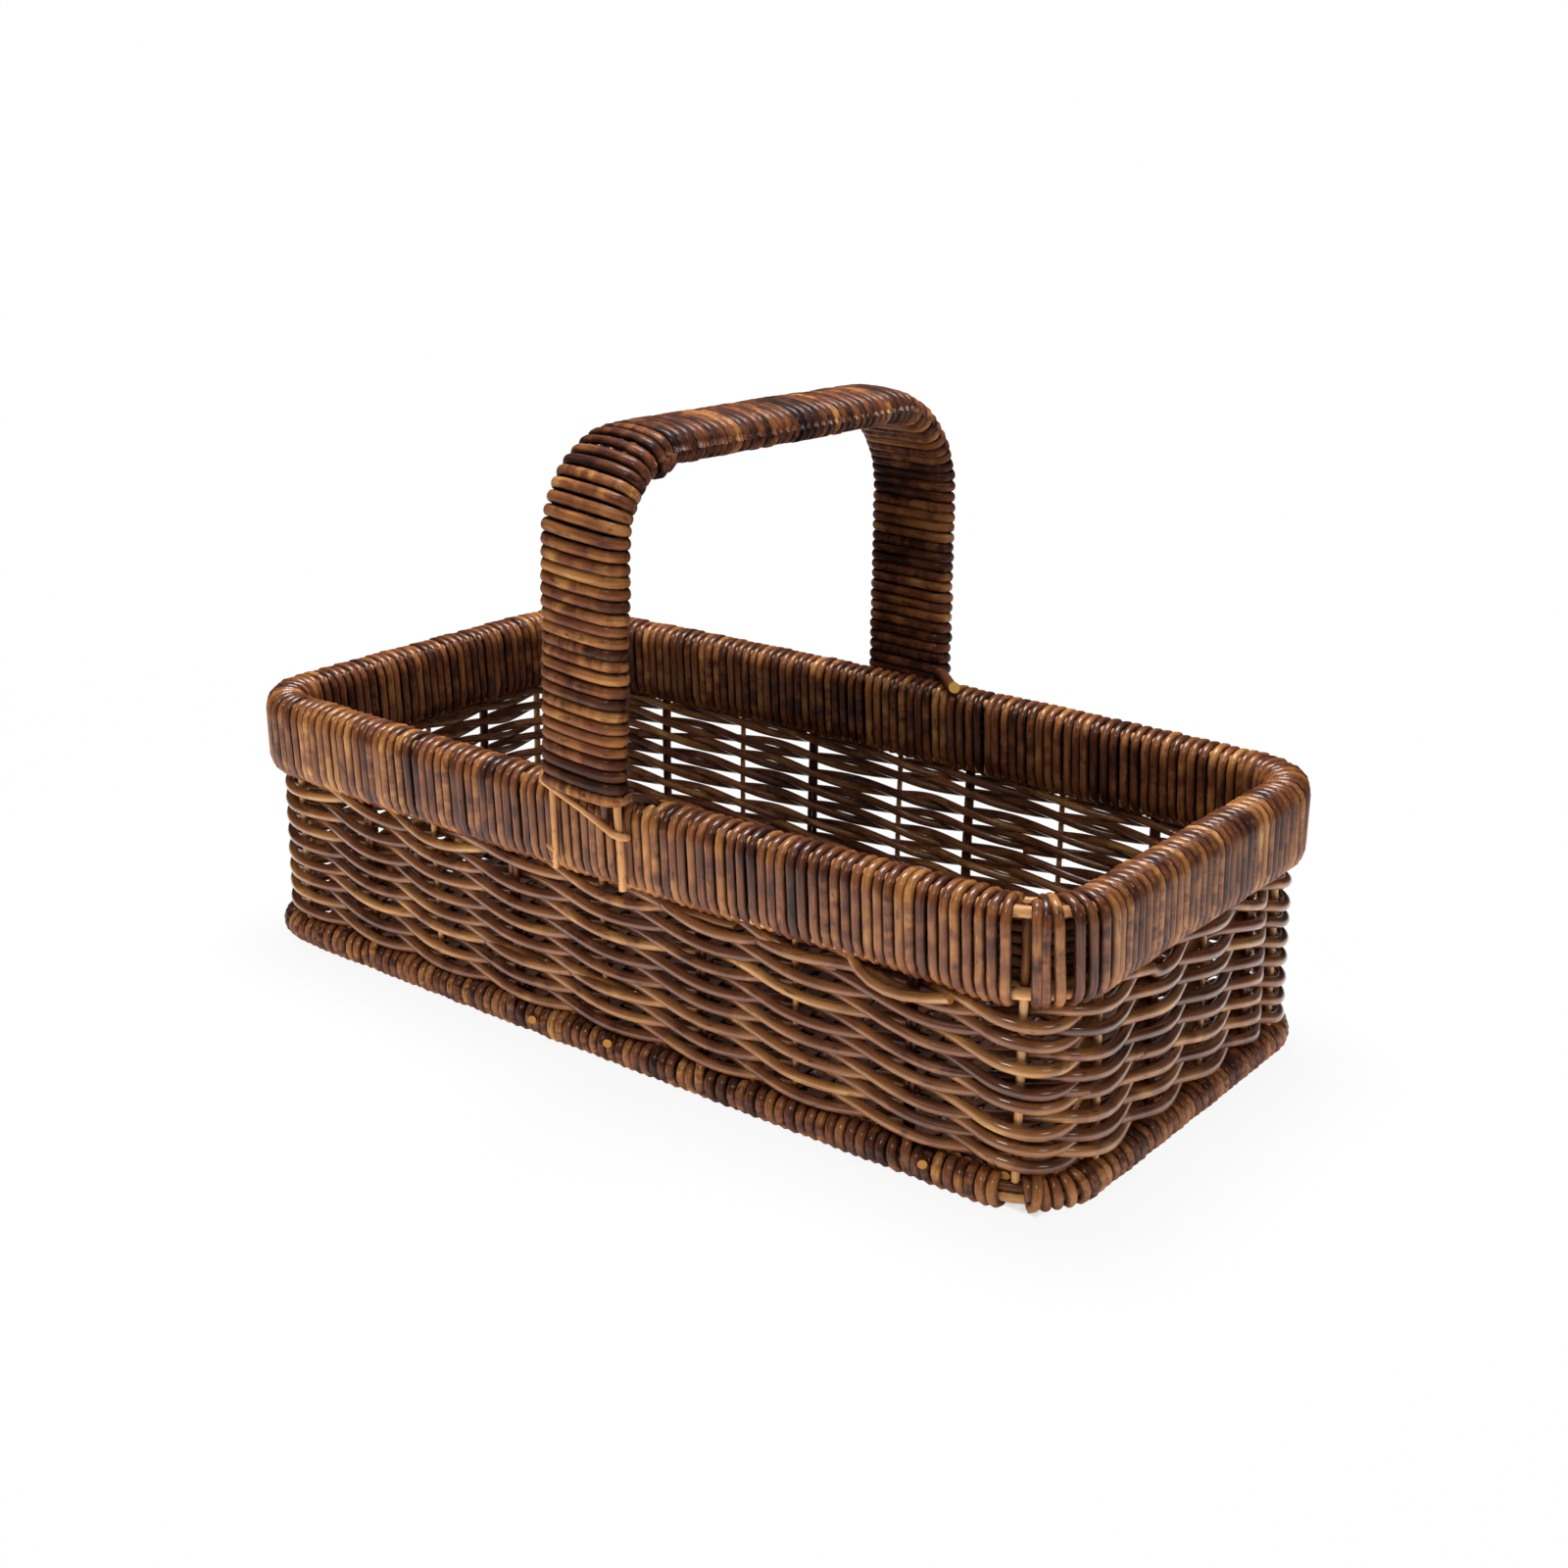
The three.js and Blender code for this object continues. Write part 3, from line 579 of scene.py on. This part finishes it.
# Rim winding: split cane wound close over the hoops and the stake tops, about 260 turns in one direction.
# The turns lie unevenly, with thin dark gaps, and stop on each side of the near right corner, where a few
# stand apart.
BAND_HALF_WIDE, BAND_HALF_TALL = 8.9, 18
RIM_STRAND_WIDE, RIM_STRAND_THICK = 3.75, 2.7
LOOSENESS, LEAN = 0.3, 0.25
CORNER_DROP, CORNER_DROP_REACH = 1.8, 30
TALL_TURN, TALL_TURN_REACH = 0.6, 2.2
LONE_TURNS, RIM_FIRST, RIM_LAST, WINDING_END = (3.5, 6.0, 8.4), 13.4, -4.1, -2.6
BOUND_TONES = ((0.0, "1e0b06"), (0.25, "502817"), (0.5, "804a29"), (0.75, "aa6f39"), (1.0, "d09a58"))
bound_cane = stained_cane("bound_cane", BOUND_TONES, edge=0.7, shine=0.4)


def split_cane(width, thickness):
    """The outline of a split cane: nearly flat inside, rounded outside."""
    half = [(0, -0.5), (0.3, -0.5), (0.46, -0.34), (0.5, -0.1), (0.43, 0.18), (0.25, 0.41)]
    outline = half + [(0, 0.5)] + [(-w, t) for w, t in reversed(half[1:])]
    return [(w * width, t * thickness) for w, t in outline]


def turn_stops(half_wide, half_tall, top_round, low_round, arc_steps, face_steps):
    """The stops of one turn round an oblong section from its top: out, up, way faced, share of the turn."""
    top, low = half_tall - top_round, low_round - half_tall
    corners = ((1, top, top_round), (1, low, low_round), (-1, low, low_round), (-1, top, top_round))
    stops = []
    for count, (side, level, radius) in enumerate(corners):
        for k in range(arc_steps + 1):
            angle = math.radians(90 - 90 * count - 90 * k / arc_steps)
            face = (math.cos(angle), math.sin(angle))
            stops.append((side * (half_wide - radius) + radius * face[0], level + radius * face[1], face))
        if count % 2 == 0:
            way = corners[count + 1][1] - level
            for k in range(1, face_steps):
                stops.append((side * half_wide, level + way * k / face_steps, (side, 0)))
    shares, total = [], 0.0
    for stop, after in zip(stops, stops[1:] + stops[:1]):
        shares.append(total)
        total += math.dist(stop[:2], after[:2])
    return [(out, up, face, share / total) for (out, up, face), share in zip(stops, shares)]


def between(values, turn, share):
    """The value at some share of the way from one turn to the next."""
    return values[turn] + (values[turn + 1] - values[turn]) * share


def wind_ring(bundle, starts, stops, z_middle, section, tones, tall=()):
    """One strand wound round the ring of the basket. Turns that start near a tall place stand taller."""
    middles, outs, stains_and_shade, girths = [], [], [], []
    proud = [chance.uniform(-LOOSENESS, LOOSENESS) for _ in starts]
    lean = [chance.gauss(0, LEAN) for _ in starts]
    shades = [tones[0] + (tones[1] - tones[0]) * chance.random() for _ in starts]
    for turn in range(len(starts) - 1):
        is_tall = any(abs(starts[turn] - place) < TALL_TURN_REACH for place in tall)
        for out, up, face, share in stops:
            length = between(starts, turn, share) + lean[turn] * math.sin(2 * math.pi * share)
            swell = between(proud, turn, share)
            drop = CORNER_DROP * math.exp(-((from_open_corner(length) / CORNER_DROP_REACH) ** 2))
            low = drop if up < -BAND_HALF_TALL / 2 else 0
            high = TALL_TURN * max(up, 0) if is_tall else 0
            z = z_middle + up - low + high + face[1] * swell
            spot, away = wall_place(length, out + face[0] * swell, z)
            middles.append(spot)
            outs.append(away * face[0] + UP * face[1])
            stains_and_shade.append(between(shades, turn, share))
            girths.append(1 + waver(0.09, turn * 0.8, share * 2, z_middle))
    bundle.lay(middles, outs, section, stains_and_shade, girths=girths)


def at_bend(length):
    """Whether a place round the plan is in the bend of a corner."""
    place = length % (LAP / 2)
    return RUN_LONG <= place < RUN_LONG + ROUND or place >= LAP / 2 - ROUND


def winding_starts(first, last, pitch, corner_pitch, gap_chance, gap):
    """Where the turns of a winding start: close together, closer in the bends, and here and there a gap."""
    starts = [first]
    while starts[-1] < last:
        step = corner_pitch if at_bend(starts[-1]) else pitch
        step *= chance.uniform(0.93, 1.07)
        if chance.random() < gap_chance:
            step += gap * chance.uniform(0.5, 1.2)
        starts.append(starts[-1] + step)
    return [first + (start - first) * (last - first) / (starts[-1] - first) for start in starts]


rim_winding = Bundle()
rim_stops = turn_stops(
    BAND_HALF_WIDE - RIM_STRAND_THICK / 2, BAND_HALF_TALL - RIM_STRAND_THICK / 2,
    top_round=6.2, low_round=7.6, arc_steps=3, face_steps=4,
)
rim_starts = [OPEN_CORNER + shift for shift in LONE_TURNS]
rim_starts += winding_starts(
    OPEN_CORNER + RIM_FIRST, OPEN_CORNER + RIM_LAST + LAP,
    pitch=4.15, corner_pitch=3.5, gap_chance=0.09, gap=0.7,
)
rim_starts.append(OPEN_CORNER + WINDING_END + LAP)
rim_section = split_cane(RIM_STRAND_WIDE, RIM_STRAND_THICK)
wind_ring(rim_winding, rim_starts, rim_stops, RIM_TOP - BAND_HALF_TALL, rim_section, (0.1, 0.82))
rim_winding.piece("rim_winding", bound_cane, "bound_cane", "rim_binding_left", "rim_binding_right")

# Foot winding: split cane wound close round the foot hoop, a plain roll that the basket stands on. It has a
# gap at the near right corner too, where its end comes out over the hoop. At four stakes of the near side a
# turn stands taller, and three canes end between the turns with a pale cut face.
FOOT_ROLL, FOOT_STRAND_WIDE, FOOT_STRAND_THICK = 5.25, 4.0, 2.7
FOOT_FIRST, FOOT_LAST = 4.3, -5
TALL_STAKES = (15, 17, 19, 21)
STUB, STUB_STAINS = 3.4, [0.4, 0.4, 0.4, 0.35]
STUB_ENDS = ((149.4, -97.6, 10.3), (8.5, -97.9, 10.9), (-30.5, -98.0, 8.8))
FOOT_END_CANE, FOOT_END_STAINS = 3.6, [0.45] * 6 + [0.9]
FOOT_END = (
    (6.8, 1.5, 13.9), (6.6, 5.4, 12.2), (6.3, 7.9, 8.6), (6.0, 8.3, 6.2),
    (5.6, 7.4, 5.4), (4.8, 7.0, 4.9), (4.5, 6.9, 4.8),
)
foot_winding = Bundle()
foot_stops = turn_stops(FOOT_ROLL, FOOT_ROLL, FOOT_ROLL, FOOT_ROLL, arc_steps=3, face_steps=1)
foot_starts = winding_starts(
    OPEN_CORNER + FOOT_FIRST, OPEN_CORNER + FOOT_LAST + LAP,
    pitch=4.3, corner_pitch=3.6, gap_chance=0.1, gap=1.1,
)
foot_starts.append(OPEN_CORNER + WINDING_END + LAP)
foot_section = split_cane(FOOT_STRAND_WIDE, FOOT_STRAND_THICK)
tall = [stake_length(count) + LAP for count in TALL_STAKES]
wind_ring(foot_winding, foot_starts, foot_stops, FOOT_MIDDLE, foot_section, (0.05, 0.8), tall)
for x, y, z in STUB_ENDS:
    spots = [Vector((x + run * 0.6, y - run, z)) for run in (-8, -4, 0, 0.2)]
    foot_winding.lay(spots, [UP] * 4, round_cane(STUB), STUB_STAINS)
places = [wall_place(OPEN_CORNER + shift, out, z) for shift, out, z in FOOT_END]
spots, outs = [spot for spot, _ in places], [away for _, away in places]
foot_winding.lay(spots, outs, round_cane(FOOT_END_CANE), FOOT_END_STAINS)
foot_winding.piece("foot_binding", bound_cane, "bound_cane", "foot_binding")

# Handle canes: four thick canes in an arch that stop at the rim, and at each edge a thin pale one that goes
# on down over the outside of the rim band as a bare stick. On the near side the fifth ends in a thin tip
# too, and a peg sits by the first. The arch leans, and falls a little to the back.
ARCH_CORNERS = (
    (Vector((4.6, -102.0, RIM_TOP)), 0),
    (Vector((3.8, -96.1, 228.6)), 31.4),
    (Vector((-1.6, 107.5, 224.3)), 37.9),
    (Vector((2.7, 100.9, 105.0)), 0),
)
BEND_STEPS = 40
CANE_PLACES, CANE_STOPS = (-15.6, -9.9, -3.3, 3.3, 9.9, 15.6), 91
CANE_START, CANE_SHARE = 0.01, 0.98
THICK_CANE, EDGE_CANE, THICK_STAIN, EDGE_STAIN = 6.2, 3.0, 0.4, 0.75
PEG, PEG_START, PEG_STEP, PEG_GIRTHS = 2.3, (-10, -102.9, 84.6), (-1.2, -0.1, 0.4), (1, 1, 1, 0.7)
NEAR_TAILS = {
    0: [(-10.0, -102.7, 77.4, 0.7), (-10.2, -102.7, 92, 0.75), (-10.3, -102.9, 106, 0.8)],
    4: [(15.4, -103.0, 98.0, 0.45), (15.6, -103.2, 106, 0.5)],
    5: [(23.0, -102.9, 76.8, 0.98), (22.3, -102.9, 92, 1.0), (21.4, -103.1, 106, 1.0)],
}
FAR_STICK_OUT, FAR_STICK_TOP, FAR_STICK_STEP, FAR_STICK_STOPS = 102.9, 106, 5, 6
ACROSS, TO_NEAR, TO_FAR = Vector((1, 0, 0)), Vector((0, -1, 0)), Vector((0, 1, 0))


def arch_line():
    """Points close together along the middle line of the handle, from the near rim to the far rim."""
    spots = [ARCH_CORNERS[0][0]]
    for (before, _), (corner, radius), (after, _) in zip(ARCH_CORNERS, ARCH_CORNERS[1:], ARCH_CORNERS[2:]):
        back, on = (before - corner).normalized(), (after - corner).normalized()
        half = back.angle(on) / 2
        centre = corner + (back + on).normalized() * radius / math.sin(half)
        first = corner + back * radius / math.tan(half) - centre
        last = corner + on * radius / math.tan(half) - centre
        spots += [centre + first.slerp(last, k / BEND_STEPS) * radius for k in range(BEND_STEPS + 1)]
    return spots + [ARCH_CORNERS[-1][0]]


arch_spots = arch_line()
arch_reach = [0.0]
for spot, after in zip(arch_spots, arch_spots[1:]):
    arch_reach.append(arch_reach[-1] + (after - spot).length)
ARCH = arch_reach[-1]


def arch_place(length):
    """The middle line of the handle some way from the near rim, and the way out of the arch there."""
    k = min(max(bisect.bisect(arch_reach, length), 1), len(arch_spots) - 1)
    share = (length - arch_reach[k - 1]) / (arch_reach[k] - arch_reach[k - 1])
    ahead = (arch_spots[k] - arch_spots[k - 1]).normalized()
    return arch_spots[k - 1].lerp(arch_spots[k], share), ACROSS.cross(ahead).normalized()


for i, x in enumerate(CANE_PLACES):
    edge = i in (0, len(CANE_PLACES) - 1)
    tail = NEAR_TAILS.get(i, [])
    lengths = [ARCH * (CANE_START + CANE_SHARE * k / (CANE_STOPS - 1)) for k in range(CANE_STOPS)]
    places = [arch_place(length) for length in lengths]
    middles = [Vector(stop[:3]) for stop in tail] + [spot + Vector((x, 0, 0)) for spot, _ in places]
    outs = [TO_NEAR] * len(tail) + [outward for _, outward in places]
    girths = [stop[3] for stop in tail] + [1.0] * CANE_STOPS
    if edge:
        for k in range(FAR_STICK_STOPS):
            middles.append(Vector((x * 1.05 + 3.4, FAR_STICK_OUT, FAR_STICK_TOP - FAR_STICK_STEP * k)))
            outs.append(TO_FAR)
            girths.append(1.0)
    diameter, stain = (EDGE_CANE, EDGE_STAIN) if edge else (THICK_CANE, THICK_STAIN)
    finish, slot = (pale_cane, "pale_cane") if edge else (bound_cane, "bound_cane")
    cane = Bundle()
    cane.lay(middles, outs, round_cane(diameter), stain, girths=girths)
    if i == 0:
        peg = [Vector([a + b * k for a, b in zip(PEG_START, PEG_STEP)]) for k in range(len(PEG_GIRTHS))]
        cane.lay(peg, [TO_NEAR] * len(peg), round_cane(PEG, 8), 0.7, girths=PEG_GIRTHS)
    cane.piece(f"handle_cane_{i + 1}", finish, slot, f"handle_cane_{i + 1}")

# Handle winding: one long split cane wound round the six canes, from the near rim over the top to the far
# rim. Its near end runs off along the rim, and so does the far one, a round cane with a yellow cut face. A
# couple of strands bulge out under the near bend.
STRAND_WIDE, STRAND_THICK, STRAND_PITCH = 4.3, 2.5, 4.3
FIRST_TURN, LEFT_BARE = 0.5, 3
HANDLE_HALF_THICK, HANDLE_HALF_WIDE, FAR_WIDENS, HANDLE_ROUND = 6.3, 18.9, 1.1, 4.8
TOP_START, TOP_END, TOP_PAINTED_SHADE, LEG_DARKER = 0.28, 0.68, 0.24, 0.1
BULGE_START, BULGE_END, BULGE = 118, 127, 1.8
NEAR_END = ((33, -93, 107.8), (29, -94.5, 110.3), (25.5, -99, 111.6))
NEAR_END_OUTS, NEAR_END_GIRTHS = ((0.3, -0.3, 1), (0.2, -0.4, 1), (0.6, -0.5, 0.6)), (0.8, 0.9, 1)
FAR_END = (
    (15, 100.5, 108.5), (20, 97, 111.6), (26, 92, 112.4),
    (32, 87.5, 110.9), (35.5, 84.5, 110.6), (37.2, 83.2, 111.5),
)
FAR_END_CANE, FAR_END_STAINS = 4.8, [0.3] * 5 + [1.3]
HANDLE_TONES = ((0.0, "1a0905"), (0.25, "4c2616"), (0.5, "7c4728"), (0.75, "a86e3a"), (1.0, "d09a58"))
handle_strand = stained_cane("handle_strand", HANDLE_TONES, edge=0.7, shine=0.15)

starts = [FIRST_TURN]
while starts[-1] < ARCH - LEFT_BARE:
    starts.append(starts[-1] + STRAND_PITCH * chance.uniform(0.92, 1.08))
swells = [chance.uniform(-0.25, 0.35) for _ in starts]
# Painted shade: turns on the top of the handle get less stain than those on the legs.
shades = []
for start in starts:
    on_top = TOP_START <= start / ARCH < TOP_END
    shades.append(chance.uniform(0.1, 0.9) - (TOP_PAINTED_SHADE if on_top else LEG_DARKER))

middles = [Vector(p) for p in NEAR_END]
outs = [Vector(p) for p in NEAR_END_OUTS]
stains_and_shade = [0.1] * len(NEAR_END)
girths = list(NEAR_END_GIRTHS)
for turn in range(len(starts) - 1):
    far = starts[turn] / ARCH
    half_wide = HANDLE_HALF_WIDE + FAR_WIDENS * far
    flat_top = min(max((0.5 - abs(far - 0.5)) * 5 - 1.1, 0), 1)
    stops = turn_stops(
        HANDLE_HALF_THICK - STRAND_THICK / 2, half_wide - STRAND_THICK / 2,
        HANDLE_ROUND, HANDLE_ROUND, arc_steps=3, face_steps=6,
    )
    for deep, wide, face, share in stops:
        length = between(starts, turn, share) - 0.05 * wide * (0.4 + flat_top)
        swell = between(swells, turn, share)
        if deep > 0:
            deep += (0.5 + 0.5 * flat_top) * (1.6 - 4.2 * (wide / half_wide) ** 2)
        elif BULGE_START < starts[turn] < BULGE_END:
            swell += BULGE
        point, outward = arch_place(length)
        middles.append(point + outward * (deep + face[0] * swell) + ACROSS * (wide + face[1] * swell))
        outs.append(outward * face[0] + ACROSS * face[1])
        stains_and_shade.append(between(shades, turn, share))
        girths.append(1 + waver(0.07, turn * 0.7, share * 2, 3))
handle_winding = Bundle()
handle_winding.lay(middles, outs, split_cane(STRAND_WIDE, STRAND_THICK), stains_and_shade, girths=girths)
spots = [Vector(p) for p in FAR_END]
handle_winding.lay(spots, [UP] * len(spots), round_cane(FAR_END_CANE, 12), FAR_END_STAINS)
handle_winding.piece(
    "handle_winding", handle_strand, "bound_cane",
    "handle_winding_near_leg", "handle_winding_top", "handle_winding_far_leg",
)

# Ties: on each side a pale strand slants down from the foot of the winding over both sticks, goes round the
# lower one and is tucked in behind it. The far one sits lower, so that it shows below the winding.
TIE_WIDE, TIE_THICK, TIE_STAIN, TIE_STEPS = 2.8, 1.8, 0.75, 5
TIE_STOPS = (
    (-16.6, -98.5, 111.0), (-16.4, -102.0, 112.0), (-13.4, -105.3, 111.3),
    (-10.2, -105.4, 110.0), (5.0, -104.3, 103.9), (21.4, -105.6, 98.3),
    (24.0, -104.6, 97.5), (25.0, -102.8, 97.2), (24.6, -101.4, 97.2),
)
FAR_TIE_OUT, FAR_TIE_DROP = 1.5, 7
for name, side in (("near", -1), ("far", 1)):
    middles, outs = [], []
    for low, high in zip(TIE_STOPS, TIE_STOPS[1:]):
        for step in range(TIE_STEPS):
            x, y, z = (a + (b - a) * step / TIE_STEPS for a, b in zip(low, high))
            middles.append(Vector((x, y, z) if side < 0 else (x, FAR_TIE_OUT - y, z - FAR_TIE_DROP)))
            outs.append(Vector(((x - 5) * 0.02, side, 0.15)))
    tie = Bundle()
    tie.lay(middles, outs, split_cane(TIE_WIDE, TIE_THICK), TIE_STAIN)
    tie.piece(f"handle_tie_{name}", pale_cane, "pale_cane", f"handle_tie_{name}")
